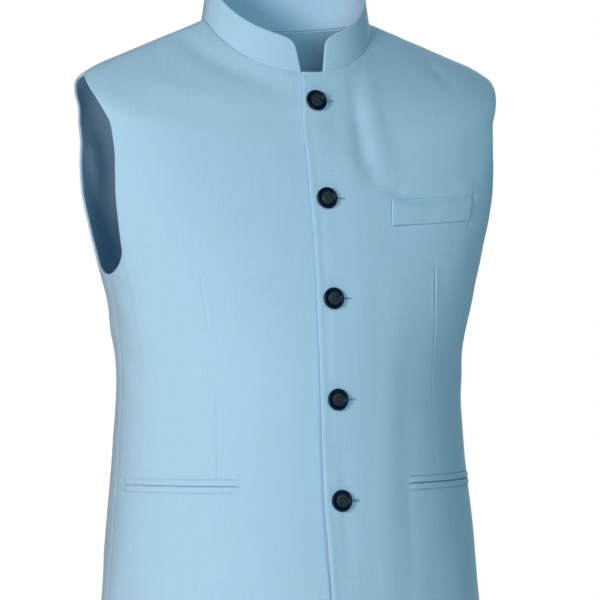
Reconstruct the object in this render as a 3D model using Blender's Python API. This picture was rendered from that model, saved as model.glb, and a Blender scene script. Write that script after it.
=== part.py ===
"""Nehru jacket: a sleeveless, buttoned jacket with a band collar, holding its worn, hollow form.

Metres, +Z up. The front faces -Y and the wearer's left is +X. The origin is midway between the
neck points of the shoulders, where the wearer's shoulders hold the jacket up.

The cloth is one smooth surface cut into panels. A point on it has an angle round the body
(0 at centre front, 90 at the wearer's left side, 180 at centre back, in degrees) and a station,
which is its height at the side. Each section row gives the surface at one station.
"""
import math
from collections import namedtuple

import bmesh
import bpy
import numpy as np
from mathutils import Vector

# ---- Driving sizes -------------------------------------------------------------------------------
WALL = 0.0024               # cloth with its interlining
SEAM_HALF_GAP = 0.0002      # half of the space between two panels at a seam
HEM_STATION = -0.690
CORNER_STATION = -0.225     # where the armhole leaves its upright front and back edges
ARMHOLE_BOTTOM = -0.262
WIDEST_STATION = -0.085     # above it the sections narrow along the shoulders
SHOULDER_TIP = -0.0570
NECK_SHARE = 0.50           # share of a panel's top edge that is neckline; the rest is shoulder seam
RIDGE_ROUNDING = 0.12       # softens the shoulder line, as a share of the half depth

LAP_LIFT = WALL + 0.0006    # the left front lies this far outside the right front
LAP_LIFT_FULL = 0.10        # share of the front's width that is fully lifted
LAP_LIFT_END = 0.36         # share where the left front is back on the surface
SWING_END = 0.17            # share where the swing of the left front's edge has faded out

COLUMNS = 12                # columns of cloth facets from the centre line to the armhole
LAP_SHARE = 1.0 / COLUMNS   # the column of the left front that lies past centre front
NECK_STEP = 90.0 / (COLUMNS * NECK_SHARE)    # angle between the panels' columns at the neckline
SIDE_COLUMNS = 3            # from the armhole's upright edge to the side seam
LOW_ROWS = 20               # from the hem to CORNER_STATION
HIGH_ROWS = 9               # from there to the neckline and shoulder

COLLAR_WALL = 0.0030
COLLAR_SEAM = 0.0004        # the band stands this far above the neckline
COLLAR_LEAN = 0.0055        # how far its top leans towards the neck
COLLAR_RIGHT_ANGLE = -5.6   # where the band ends on the wearer's right front
COLLAR_LEFT_ANGLE = 8.5     # and on the wearer's left front
COLLAR_END_SPREAD = 0.004   # how far each end's top corner falls away from the other
COLLAR_SPREAD_REACH = 0.050
COLLAR_ROWS = 3

BUTTON_RADIUS = 0.0112
BUTTON_THICKNESS = 0.0042
BUTTON_RIM = 0.0026         # width of the raised rim
BUTTON_DISH = 0.0016        # how far the middle lies below the rim
BUTTON_HOLE_RADIUS = 0.0011
BUTTON_HOLE_SPACING = 0.0034
BUTTON_STANDOFF = 0.0005
BUTTON_SIDES = 24
TOP_BUTTON_Z = -0.0860
LAST_BUTTON_Z = -0.4920
BUTTONS = 5

PATCH_LIFT = 0.0007         # clearance of welts above the panel they are sewn to
WELT_THICKNESS = 0.0016
JET_THICKNESS = 0.0012
JET_WIDTH = 0.0058
JET_SLIT = 0.0008
HIP_POCKET_Z = -0.4765
HIP_POCKET_ANGLES = {1: (25.5, 78.0), -1: (30.5, 80.0)}   # worn slightly round to the wearer's right
CHEST_WELT_ANGLES = (18.2, 47.3)
CHEST_WELT_TOP = (-0.1860, -0.1800)      # height of its top edge at its inner and outer end
CHEST_WELT_HEIGHT = 0.0270

# ---- The surface: one row for each section, hem to neckline --------------------------------------
Section = namedtuple(
    "Section", "station front_z back_z half_width side_y front_depth back_depth square belly")
SECTIONS = [
    Section(-0.690, -0.694, -0.690, 0.2160, -0.018, 0.132, 0.134, 2.25, 0.030),
    Section(-0.600, -0.601, -0.600, 0.2065, -0.019, 0.128, 0.124, 2.25, 0.032),
    Section(-0.520, -0.520, -0.520, 0.1990, -0.017, 0.126, 0.117, 2.25, 0.032),
    Section(-0.440, -0.440, -0.440, 0.1915, -0.013, 0.122, 0.106, 2.25, 0.032),
    Section(-0.360, -0.361, -0.360, 0.1885, -0.013, 0.116, 0.096, 2.25, 0.030),
    Section(-0.300, -0.304, -0.302, 0.1960, -0.016, 0.107, 0.102, 2.35, 0.020),
    Section(-0.268, -0.276, -0.272, 0.2030, -0.016, 0.104, 0.107, 2.40, 0.014),
    Section(-0.225, -0.240, -0.234, 0.2140, -0.015, 0.100, 0.111, 2.40, 0.008),
    Section(-0.165, -0.194, -0.180, 0.2290, -0.014, 0.092, 0.112, 2.40, 0.003),
    Section(-0.120, -0.163, -0.139, 0.2345, -0.013, 0.086, 0.108, 2.35, 0.000),
    Section(-0.085, -0.137, -0.102, 0.2360, -0.011, 0.081, 0.099, 2.30, 0.000),
    Section(-0.062, -0.117, -0.073, 0.2330, -0.009, 0.077, 0.090, 2.25, 0.000),
    Section(-0.048, -0.103, -0.055, 0.2120, -0.007, 0.074, 0.084, 2.20, 0.000),
    Section(-0.034, -0.089, -0.038, 0.1780, -0.005, 0.072, 0.077, 2.15, 0.000),
    Section(-0.018, -0.073, -0.021, 0.1375, -0.002, 0.069, 0.068, 2.08, 0.000),
    Section(0.000, -0.055, -0.008, 0.0920, 0.000, 0.065, 0.058, 2.00, 0.000),
]

# The armhole's upright edges: share of the way up, station, and angle from the centre line.
ArmholeRow = namedtuple("ArmholeRow", "share station front_angle back_angle")
ARMHOLE = [
    ArmholeRow(0.00, CORNER_STATION, 67.5, 70.0),
    ArmholeRow(0.20, -0.183, 63.8, 65.8),
    ArmholeRow(0.40, -0.144, 61.3, 63.2),
    ArmholeRow(0.60, -0.107, 60.5, 62.3),
    ArmholeRow(0.75, -0.082, 62.3, 64.2),
    ArmholeRow(0.88, -0.065, 70.0, 71.8),
    ArmholeRow(1.00, SHOULDER_TIP, 90.0, 90.0),
]

# How far the left front runs past centre front, and how far its edge swings out lower down.
LapRow = namedtuple("LapRow", "station width swing")
LAP = [
    LapRow(-0.690, 0.0075, 0.0060),
    LapRow(-0.620, 0.0112, 0.0052),
    LapRow(-0.560, 0.0145, 0.0044),
    LapRow(-0.510, 0.0172, 0.0034),
    LapRow(-0.440, 0.0174, 0.0022),
    LapRow(-0.360, 0.0169, 0.0008),
    LapRow(-0.280, 0.0166, 0.0000),
    LapRow(-0.100, 0.0166, 0.0000),
    LapRow(-0.060, 0.0166, 0.0000),
    LapRow(-0.030, 0.0136, 0.0000),
    LapRow(0.000, 0.0095, 0.0000),
]

# The band's height by distance from either end: its front corners are cut round.
CollarRow = namedtuple("CollarRow", "distance height")
COLLAR_CORNER = [
    CollarRow(0.000, 0.0210),
    CollarRow(0.0015, 0.0268),
    CollarRow(0.004, 0.0306),
    CollarRow(0.009, 0.0337),
    CollarRow(0.016, 0.0353),
    CollarRow(0.028, 0.0362),
    CollarRow(0.045, 0.0366),
]

# The largest folds: a path of (angle, station) points, its half width, and how far the cloth
# stands out (+) or in (-) along it.
Fold = namedtuple("Fold", "path half_width rise")
FOLDS = [
    Fold(((-86, -0.0120), (-72, -0.0112), (-53, -0.0108), (-38, -0.0108), (-26, -0.0120), (-10, -0.0185)),
         0.013, -0.0028),
    Fold(((-74, -0.037), (-56, -0.038), (-39, -0.037), (-25, -0.040), (-12, -0.047)), 0.014, 0.0009),
    Fold(((33, -0.002), (17, -0.027), (12.3, -0.053), (11.8, -0.083), (13.2, -0.113), (14.6, -0.140)),
         0.0125, -0.0030),
    Fold(((39, -0.006), (22, -0.030), (16.2, -0.061), (17, -0.097), (19, -0.137)), 0.015, 0.0011),
]

CLOTH_COLOUR = (0.33, 0.56, 0.72, 1.0)
CLOTH_ROUGHNESS = 0.75
BUTTON_COLOUR = (0.006, 0.010, 0.022, 1.0)
BUTTON_ROUGHNESS = 0.35


# ---- Curves and the surface ----------------------------------------------------------------------
def smooth_table(keys, values):
    """Return a smooth curve through rows of values: cubic pieces with averaged slopes."""
    keys = np.array(keys, float)
    values = np.array(values, float)
    steps = np.diff(keys)[:, None]
    rises = np.diff(values, axis=0) / steps
    inner = (steps[1:] * rises[:-1] + steps[:-1] * rises[1:]) / (steps[1:] + steps[:-1])
    slopes = np.vstack([rises[:1], inner, rises[-1:]])

    def curve(key):
        i = int(np.clip(np.searchsorted(keys, key, side="right") - 1, 0, len(keys) - 2))
        h = keys[i + 1] - keys[i]
        t = (key - keys[i]) / h
        return ((2 * t**3 - 3 * t**2 + 1) * values[i] + (t**3 - 2 * t**2 + t) * h * slopes[i]
                + (3 * t**2 - 2 * t**3) * values[i + 1] + (t**3 - t**2) * h * slopes[i + 1])

    return curve


section_at = smooth_table([row.station for row in SECTIONS], [row[1:] for row in SECTIONS])
armhole_at = smooth_table([row.share for row in ARMHOLE], [row[1:] for row in ARMHOLE])
lap_at = smooth_table([row.station for row in LAP], [row[1:] for row in LAP])
collar_height_at = smooth_table([row.distance for row in COLLAR_CORNER],
                                [[row.height] for row in COLLAR_CORNER])


def smooth_step(t):
    t = min(max(t, 0.0), 1.0)
    return t * t * (3.0 - 2.0 * t)


def bare_point(angle, station):
    """A point of the outer surface without its folds.

    square is the power of the section's rounded-square outline, and belly the part of its
    front depth that is drawn in towards centre front.
    """
    front_z, back_z, half_width, side_y, front_depth, back_depth, square, belly = section_at(station)
    s = math.sin(math.radians(angle))
    c = math.cos(math.radians(angle))
    round_off = (abs(s)**square + abs(c)**square)**(1.0 / square)
    s /= round_off
    c /= round_off
    forward = (front_depth - belly) * c + belly * c**3 if c > 0 else back_depth * c
    end_z = front_z if c > 0 else back_z
    k = RIDGE_ROUNDING
    fall = (math.sqrt(c * c + k * k) - k) / (math.sqrt(1.0 + k * k) - k)
    return np.array([half_width * s, side_y - forward, station + (end_z - station) * fall])


def surface_normal(angle, station):
    turn = 0.5
    rise = 0.0015
    across = bare_point(angle + turn, station) - bare_point(angle - turn, station)
    up = bare_point(angle, station + rise) - bare_point(angle, station - rise)
    normal = np.cross(across, up)
    return normal / np.linalg.norm(normal)


def fold_lines():
    """Each fold's path as points on the surface, with the share of its rise at each point."""
    lines = []
    for fold in FOLDS:
        path = smooth_table(range(len(fold.path)), fold.path)
        count = 4 * (len(fold.path) - 1)
        for i in range(count + 1):
            t = i / count
            angle, station = path(t * (len(fold.path) - 1))
            rise = fold.rise * math.sin(math.pi * t)**0.6
            lines.append((bare_point(angle, station), fold.half_width, rise))
    return lines


FOLD_LINES = fold_lines()


def fold_rise(point):
    """How far the folds move the cloth at a point: the strongest rise and the strongest dip."""
    highest = 0.0
    lowest = 0.0
    for centre, half_width, rise in FOLD_LINES:
        distance = float(np.sum((point - centre)**2)) / half_width**2
        if distance < 9.0:
            value = rise * math.exp(-distance)
            highest = max(highest, value)
            lowest = min(lowest, value)
    return highest + lowest


def cloth_point(angle, station, offset):
    """A point at an offset outside the folded surface."""
    point = bare_point(angle, station)
    return point + surface_normal(angle, station) * (offset + fold_rise(point))


def rise_to(goal, low, high, height):
    """The station between low and high where a rising height passes goal."""
    for _ in range(40):
        middle = (low + high) / 2.0
        if height(middle) < goal:
            low = middle
        else:
            high = middle
    return (low + high) / 2.0


def angle_at_x(x, station):
    """The angle from the centre line where the section at a station is x wide."""
    _, _, half_width, _, _, _, square, _ = section_at(station)
    s = min(x / half_width, 1.0)
    return math.degrees(math.atan2(s, (1.0 - s**square)**(1.0 / square)))


def place_seen_at(x, z, is_front):
    """Angle from the centre line and station of the surface point seen at x, z from the front."""
    top = rise_to(-x, WIDEST_STATION, 0.0, lambda station: -section_at(station)[2])

    def height(station):
        angle = angle_at_x(x, station)
        return bare_point(angle if is_front else 180.0 - angle, station)[2]

    station = rise_to(z, CORNER_STATION - 0.03, top, height)
    return angle_at_x(x, station), station


def station_at_height(angle, z):
    """The station where the surface has height z at this angle."""
    return rise_to(z, HEM_STATION, 0.0, lambda station: bare_point(angle, station)[2])


def lap_lift(side, share, station):
    """How far the left front is lifted where it lies over the right front."""
    if side < 0:
        return 0.0
    lift = LAP_LIFT * (1.0 - smooth_step((share - LAP_LIFT_FULL) / (LAP_LIFT_END - LAP_LIFT_FULL)))
    swing = lap_at(station)[1]
    return lift + swing * (1.0 - smooth_step((share + LAP_SHARE) / (SWING_END + LAP_SHARE)))


def lap_share(angle, station):
    """The share of the front's width at an angle, as the panels' columns count it."""
    edge = ARMHOLE[0].front_angle
    if station > CORNER_STATION:
        rise = (station - CORNER_STATION) / -CORNER_STATION
        edge = edge * (1.0 - rise) + 90.0 / NECK_SHARE * rise
    return angle / edge


# ---- Meshes --------------------------------------------------------------------------------------
def add_object(name, vertices, faces, colour, roughness):
    """Make an object with outward faces from vertices and faces."""
    mesh = bpy.data.meshes.new(name)
    mesh.from_pydata([tuple(v) for v in vertices], [], faces)
    work = bmesh.new()
    work.from_mesh(mesh)
    bmesh.ops.recalc_face_normals(work, faces=work.faces)
    if work.calc_volume(signed=True) < 0:
        bmesh.ops.reverse_faces(work, faces=work.faces)
    work.to_mesh(mesh)
    work.free()
    mesh.shade_smooth()
    mesh.set_sharp_from_angle(angle=math.radians(50))
    mesh.materials.append(plain_material(name, colour, roughness))
    obj = bpy.data.objects.new(name, mesh)
    bpy.context.scene.collection.objects.link(obj)
    return obj


def plain_material(name, colour, roughness):
    material = bpy.data.materials.new(name + "_finish")
    material.use_nodes = True
    shader = material.node_tree.nodes["Principled BSDF"]
    shader.inputs["Base Color"].default_value = colour
    shader.inputs["Roughness"].default_value = roughness
    shader.inputs["Metallic"].default_value = 0.0
    return material


def walled_object(name, points, quads, colour, roughness):
    """Close a sheet into a wall. points maps a key to its (outer, inner) pair of points."""
    keys = sorted({key for quad in quads for key in quad})
    outer = {key: i for i, key in enumerate(keys)}
    inner = {key: i + len(keys) for i, key in enumerate(keys)}
    vertices = [points[key][0] for key in keys] + [points[key][1] for key in keys]
    edges = {(quad[i], quad[(i + 1) % 4]) for quad in quads for i in range(4)}
    rim = [edge for edge in edges if (edge[1], edge[0]) not in edges]
    faces = [tuple(outer[key] for key in quad) for quad in quads]
    faces += [tuple(inner[key] for key in reversed(quad)) for quad in quads]
    faces += [(outer[a], inner[a], inner[b], outer[b]) for a, b in sorted(rim)]
    return add_object(name, vertices, faces, colour, roughness)


def grid_quads(columns, rows):
    """Quads of a grid, from its lists of column and row keys."""
    return [((a, c), (b, c), (b, d), (a, d)) for a, b in zip(columns, columns[1:])
            for c, d in zip(rows, rows[1:])]


# ---- Panels --------------------------------------------------------------------------------------
def upright_edge(high, is_front):
    """Angle and station on the armhole's upright edge, high = 0 at its corner, 1 at the tip."""
    station, front_angle, back_angle = armhole_at(high)
    return np.array([front_angle if is_front else back_angle, station])


def top_edge(share):
    """Angle and station along the neckline and then the shoulder seam."""
    if share <= NECK_SHARE:
        return np.array([90.0 * share / NECK_SHARE, 0.0])
    return np.array([90.0, SHOULDER_TIP * (share - NECK_SHARE) / (1.0 - NECK_SHARE)])


def front_view(place, is_front):
    """The x and z of a place given by its angle from the centre line and its station."""
    point = bare_point(place[0] if is_front else 180.0 - place[0], place[1])
    return np.array([point[0], point[2]])


def panel_place(share, level, is_front):
    """Angle from the centre line and station of a panel's grid point.

    share runs 0 to 1 from the centre line to the armhole's upright edge and on to the side
    seam at 2; level runs 0 at the hem, 1 at CORNER_STATION and 2 at the neckline and shoulder.
    Above CORNER_STATION the grid is blended between its four edges as seen from the front.
    """
    corner = upright_edge(0.0, is_front)[0]
    if level <= 1.0:
        top = CORNER_STATION
        angle = corner * share
        if share > 1.0:
            angle = corner + (90.0 - corner) * (share - 1.0)
            top -= (CORNER_STATION - ARMHOLE_BOTTOM) * math.sqrt(1.0 - (2.0 - share)**2)
        return angle, HEM_STATION + (top - HEM_STATION) * level
    high = level - 1.0
    left = np.array([0.0, CORNER_STATION * (1.0 - high)])
    right = upright_edge(high, is_front)
    bottom = np.array([corner * share, CORNER_STATION])
    top = top_edge(share)
    edges = ((left, share == 0.0), (right, share == 1.0), (bottom, high == 0.0), (top, high == 1.0))
    for place, at_edge in edges:
        if at_edge:
            return place[0], place[1]
    seen = ((1 - high) * front_view(bottom, is_front) + high * front_view(top, is_front)
            + (1 - share) * front_view(left, is_front) + share * front_view(right, is_front)
            - (1 - share) * (1 - high) * front_view((0.0, CORNER_STATION), is_front)
            - share * (1 - high) * front_view((corner, CORNER_STATION), is_front)
            - (1 - share) * high * front_view((0.0, 0.0), is_front)
            - share * high * front_view((90.0, SHOULDER_TIP), is_front))
    return place_seen_at(seen[0], seen[1], is_front)


def keep_seam_gap(angle, station, is_front):
    """Move a place at a seam back from it by half of the seam's gap."""
    depth = section_at(station)[4 if is_front else 5]
    if is_front:
        return min(angle, 90.0 - math.degrees(SEAM_HALF_GAP / depth))
    half_width = section_at(station)[2]
    angle = min(angle, 90.0 - math.degrees(SEAM_HALF_GAP / depth))
    return max(angle, math.degrees(SEAM_HALF_GAP / half_width))


def panel_levels():
    low = [i / LOW_ROWS for i in range(LOW_ROWS + 1)]
    return low, [1.0 + i / HIGH_ROWS for i in range(HIGH_ROWS + 1)]


def panel_shares():
    inner = [i / COLUMNS for i in range(COLUMNS + 1)]
    return inner, [1.0 + math.sin(math.pi / 2 * i / SIDE_COLUMNS)**1.5 for i in range(SIDE_COLUMNS + 1)]


def front_pair(side, share, level):
    """The outer and inner points of a front panel."""
    if share < 0.0 and side > 0:
        station = panel_place(0.0, level, True)[1]
        half_width = section_at(station)[2]
        angle = -math.degrees(lap_at(station)[0] / half_width)
    elif share < 0.0:
        angle, station = panel_place(-share, level, True)
        angle = -angle
    else:
        angle, station = panel_place(share, level, True)
        angle = keep_seam_gap(angle, station, True)
    lift = lap_lift(side, share, station)
    return (cloth_point(side * angle, station, lift), cloth_point(side * angle, station, lift - WALL))


def back_pair(side, share, level):
    """The outer and inner points of a back panel."""
    angle, station = panel_place(share, level, False)
    angle = keep_seam_gap(angle, station, False)
    round_body = side * (180.0 - angle)
    return (cloth_point(round_body, station, 0.0), cloth_point(round_body, station, -WALL))


def build_panel(name, side, pair, lap_shares):
    inner_shares, side_shares = panel_shares()
    low, high = panel_levels()
    inner_shares = lap_shares + inner_shares
    quads = grid_quads(inner_shares, low) + grid_quads(side_shares, low) + grid_quads(inner_shares, high)
    points = {key: pair(side, *key) for quad in quads for key in quad}
    return walled_object(name, points, quads, CLOTH_COLOUR, CLOTH_ROUGHNESS)


# ---- The band collar -----------------------------------------------------------------------------
def neckline_point(angle, side):
    """A point on the panels' top edge, on the wearer's left (side 1) with the left front's lift."""
    lift = lap_lift(side, lap_share(abs(angle), 0.0), 0.0) if abs(angle) < 90.0 else 0.0
    return cloth_point(angle, 0.0, lift)


def collar_base(angle, inward):
    """A point on the neckline, moved towards the neck, with the collar's seam above the cloth.

    Its height follows the straight facets of the panels' top edges.
    """
    side = 1 if angle > 0 else -1
    step = math.floor(angle / NECK_STEP)
    before = neckline_point(NECK_STEP * step, side)
    after = neckline_point(NECK_STEP * (step + 1), side)
    point = neckline_point(angle, side)
    chord = (after - before)[:2]
    point[2] = before[2] + (after - before)[2] * np.dot((point - before)[:2], chord) / np.dot(chord, chord)
    along = bare_point(angle + 0.5, 0.0) - bare_point(angle - 0.5, 0.0)
    outward = np.array([along[1], -along[0], 0.0])
    outward /= np.linalg.norm(outward)
    return point - outward * inward + np.array([0.0, 0.0, COLLAR_SEAM])


def collar_run():
    """Angles round the neck from the right end to the left end, and the distance to each."""
    start = COLLAR_RIGHT_ANGLE
    end = COLLAR_LEFT_ANGLE - 360.0
    angles = np.linspace(start, end, 721)
    points = np.array([collar_base((a + 180.0) % 360.0 - 180.0, 0.0) for a in angles])
    distances = np.concatenate([[0.0], np.cumsum(np.linalg.norm(np.diff(points, axis=0), axis=1))])
    return angles, distances


def build_collar():
    angles, distances = collar_run()
    length = distances[-1]
    corner = [row.distance for row in COLLAR_CORNER]
    columns = corner + [length - d for d in corner]
    for i in range(1, int(720.0 / NECK_STEP)):
        distance = float(np.interp(NECK_STEP / 2 * i, -angles, distances))
        between_corners = corner[-1] < distance < length - corner[-1]
        meets_panel_column = i % 2 == 0 and 0.0 < distance < length
        if between_corners or meets_panel_column:
            columns.append(distance)
    columns.sort()
    points = {}
    for column in columns:
        from_end = min(column, length - column)
        height = collar_height_at(min(from_end, corner[-1]))[0]
        spread = COLLAR_END_SPREAD * (1.0 - smooth_step(from_end / COLLAR_SPREAD_REACH))
        spread *= 1.0 if column < length / 2 else -1.0
        for row in range(COLLAR_ROWS + 1):
            up = row / COLLAR_ROWS
            angle = float(np.interp(column + spread * up, distances, angles))
            angle = (angle + 180.0) % 360.0 - 180.0
            lean = COLLAR_LEAN * up * height / COLLAR_CORNER[-1].height
            rise = np.array([0.0, 0.0, height * up])
            points[column, row] = (collar_base(angle, lean) + rise,
                                   collar_base(angle, lean + COLLAR_WALL) + rise)
    quads = grid_quads(columns, list(range(COLLAR_ROWS + 1)))
    walled_object("collar", points, quads, CLOTH_COLOUR, CLOTH_ROUGHNESS)


# ---- Pockets -------------------------------------------------------------------------------------
def build_patch(name, side, angles, top, bottom, thickness, columns, rows):
    """A strip sewn on a front: top and bottom give its heights at its inner and outer ends."""
    points = {}
    for i in range(columns + 1):
        across = i / columns
        angle = angles[0] + (angles[1] - angles[0]) * across
        high = top[0] + (top[1] - top[0]) * across
        low = bottom[0] + (bottom[1] - bottom[0]) * across
        for j in range(rows + 1):
            z = low + (high - low) * j / rows
            station = station_at_height(angle, z)
            lift = PATCH_LIFT + lap_lift(side, lap_share(angle, station), station)
            points[i, j] = (cloth_point(side * angle, station, lift + thickness),
                            cloth_point(side * angle, station, lift))
    quads = grid_quads(list(range(columns + 1)), list(range(rows + 1)))
    walled_object(name, points, quads, CLOTH_COLOUR, CLOTH_ROUGHNESS)


def build_pockets():
    top = CHEST_WELT_TOP
    bottom = tuple(z - CHEST_WELT_HEIGHT for z in top)
    build_patch("chest_welt", 1, CHEST_WELT_ANGLES, top, bottom, WELT_THICKNESS, 6, 2)
    for side, word in ((1, "left"), (-1, "right")):
        for row, direction in (("upper", 1), ("lower", -1)):
            near = HIP_POCKET_Z + direction * JET_SLIT / 2
            far = near + direction * JET_WIDTH
            high, low = max(near, far), min(near, far)
            build_patch(f"hip_jet_{row}_{word}", side, HIP_POCKET_ANGLES[side], (high, high), (low, low),
                        JET_THICKNESS, 9, 1)


# ---- Buttons -------------------------------------------------------------------------------------
def button_mesh():
    """A round button with a raised rim, a dished middle and four thread holes."""
    profile = [
        (0.0, 0.0),
        (BUTTON_RADIUS - 0.0016, 0.0),
        (BUTTON_RADIUS, BUTTON_THICKNESS * 0.40),
        (BUTTON_RADIUS - 0.0005, BUTTON_THICKNESS * 0.82),
        (BUTTON_RADIUS - 0.0014, BUTTON_THICKNESS),
        (BUTTON_RADIUS - BUTTON_RIM, BUTTON_THICKNESS * 0.92),
        (BUTTON_RADIUS - BUTTON_RIM - 0.0010, BUTTON_THICKNESS - BUTTON_DISH),
        (0.0, BUTTON_THICKNESS - BUTTON_DISH - 0.0002),
    ]
    vertices = []
    rings = []
    for radius, height in profile:
        if radius == 0.0:
            rings.append([len(vertices)])
            vertices.append((0.0, 0.0, height))
            continue
        rings.append(list(range(len(vertices), len(vertices) + BUTTON_SIDES)))
        for i in range(BUTTON_SIDES):
            turn = 2.0 * math.pi * i / BUTTON_SIDES
            vertices.append((radius * math.cos(turn), radius * math.sin(turn), height))
    faces = []
    for lower, upper in zip(rings, rings[1:]):
        for i in range(BUTTON_SIDES):
            j = (i + 1) % BUTTON_SIDES
            corners = [lower[i % len(lower)], lower[j % len(lower)],
                       upper[j % len(upper)], upper[i % len(upper)]]
            faces.append(tuple(dict.fromkeys(corners)))
    return vertices, faces


def hole_cutter():
    """Four upright pegs that cut the thread holes."""
    mesh = bpy.data.meshes.new("thread_holes")
    work = bmesh.new()
    half = BUTTON_HOLE_SPACING / 2
    for x in (-half, half):
        for y in (-half, half):
            made = bmesh.ops.create_cone(work, cap_ends=True, segments=8, radius1=BUTTON_HOLE_RADIUS,
                                         radius2=BUTTON_HOLE_RADIUS, depth=4 * BUTTON_THICKNESS)
            bmesh.ops.translate(work, verts=made["verts"], vec=(x, y, 0.0))
    work.to_mesh(mesh)
    work.free()
    cutter = bpy.data.objects.new("thread_hole_cutter", mesh)
    cutter.hide_render = True
    cutter.display_type = "WIRE"
    bpy.context.scene.collection.objects.link(cutter)
    return cutter


def button_stations():
    """Stations down centre front, evenly spaced along the cloth."""
    stations = np.linspace(station_at_height(0.0, TOP_BUTTON_Z), station_at_height(0.0, LAST_BUTTON_Z), 201)
    line = np.array([bare_point(0.0, station) for station in stations])
    run = np.concatenate([[0.0], np.cumsum(np.linalg.norm(np.diff(line, axis=0), axis=1))])
    return np.interp(np.linspace(0.0, run[-1], BUTTONS), run, stations)


def build_buttons():
    cutter = hole_cutter()
    vertices, faces = button_mesh()
    for i, station in enumerate(button_stations()):
        place = cloth_point(0.0, station, lap_lift(1, 0.0, station) + BUTTON_STANDOFF)
        button = add_object(f"button_{i + 1}", vertices, faces, BUTTON_COLOUR, BUTTON_ROUGHNESS)
        button.location = place
        button.rotation_mode = "QUATERNION"
        button.rotation_quaternion = Vector(surface_normal(0.0, station)).to_track_quat("Z", "Y")
        pegs = cutter.copy()
        pegs.name = f"button_{i + 1}_cutter"
        pegs.location = button.location
        pegs.rotation_mode = "QUATERNION"
        pegs.rotation_quaternion = button.rotation_quaternion
        bpy.context.scene.collection.objects.link(pegs)
        holes = button.modifiers.new("thread holes", "BOOLEAN")
        holes.operation = "DIFFERENCE"
        holes.solver = "EXACT"
        holes.object = pegs


def main():
    for obj in list(bpy.data.objects):
        bpy.data.objects.remove(obj, do_unlink=True)
    under_lap = [-LAP_SHARE]
    build_panel("front_left", 1, front_pair, under_lap)
    build_panel("front_right", -1, front_pair, under_lap)
    build_panel("back_left", 1, back_pair, [])
    build_panel("back_right", -1, back_pair, [])
    build_collar()
    build_pockets()
    build_buttons()


main()
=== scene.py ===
"""Looks of the nehru jacket: thin cloth shells on the CAD's own form, sewing, buttons and studio.

Metres, +Z up, front to -Y, wearer's left +X. A place on the cloth has an angle round the body
(0 at centre front, 90 at the wearer's left side) and a station, its height at the side. The
section, armhole, lap and collar tables repeat the CAD's, so each shell has its solid's form.
"""
import math
from collections import namedtuple

import bmesh
import bpy
import numpy as np
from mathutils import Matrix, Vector


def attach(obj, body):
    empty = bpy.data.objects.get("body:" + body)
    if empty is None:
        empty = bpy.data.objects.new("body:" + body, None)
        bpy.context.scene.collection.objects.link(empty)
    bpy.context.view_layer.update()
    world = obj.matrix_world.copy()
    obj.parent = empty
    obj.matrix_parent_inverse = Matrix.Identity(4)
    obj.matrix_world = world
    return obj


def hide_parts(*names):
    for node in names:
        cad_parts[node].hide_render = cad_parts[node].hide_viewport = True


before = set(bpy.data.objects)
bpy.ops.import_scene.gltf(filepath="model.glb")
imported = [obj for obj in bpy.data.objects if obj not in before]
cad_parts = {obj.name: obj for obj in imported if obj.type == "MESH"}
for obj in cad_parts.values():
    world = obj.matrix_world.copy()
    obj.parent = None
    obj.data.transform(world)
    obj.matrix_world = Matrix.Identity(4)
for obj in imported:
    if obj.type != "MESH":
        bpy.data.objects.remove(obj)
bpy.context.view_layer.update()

# ---- Sizes shared with the CAD ----
WALL = 0.0024
HEM_STATION = -0.690
CORNER_STATION = -0.225         # where the armhole leaves its upright edges
FRONT_CORNER = 67.5             # angle of those edges from the centre line
BACK_CORNER = 70.0
ARMHOLE_BOTTOM = -0.262
WIDEST_STATION = -0.085
SHOULDER_TIP = -0.057
NECK_SHARE = 0.50               # share of a panel's top that is neckline
RIDGE_ROUNDING = 0.12
LAP_SHARE = 1.0 / 12.0
LAP_LIFT = WALL + 0.0006        # the left front lies this far outside the right
LAP_LIFT_FULL = 0.10            # up to this share of its width
LAP_LIFT_END = 0.36             # and is back on the surface here
SWING_END = 0.17                # its edge swings out less and less up to this share

COLLAR_WALL = 0.0030
COLLAR_LEAN = 0.0055
COLLAR_RIGHT_ANGLE = -5.6
COLLAR_LEFT_ANGLE = 8.5
COLLAR_END_SPREAD = 0.004
COLLAR_SPREAD_REACH = 0.050

BUTTON_STANDOFF = 0.0005
BUTTON_HOLE_SPACING = 0.0034
TOP_BUTTON_Z = -0.0860
LAST_BUTTON_Z = -0.4920
BUTTONS = 5

PATCH_LIFT = 0.0007
WELT_THICKNESS = 0.0016
JET_THICKNESS = 0.0012
JET_WIDTH = 0.0058
JET_SLIT = 0.0008
HIP_POCKET_Z = -0.4765
HIP_POCKET_ANGLES = {1: (25.5, 78.0), -1: (30.5, 80.0)}
CHEST_WELT_ANGLES = (18.2, 47.3)
CHEST_WELT_TOP = (-0.186, -0.180)
CHEST_WELT_HEIGHT = 0.027
SIDES = ((1, "left"), (-1, "right"))

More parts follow.
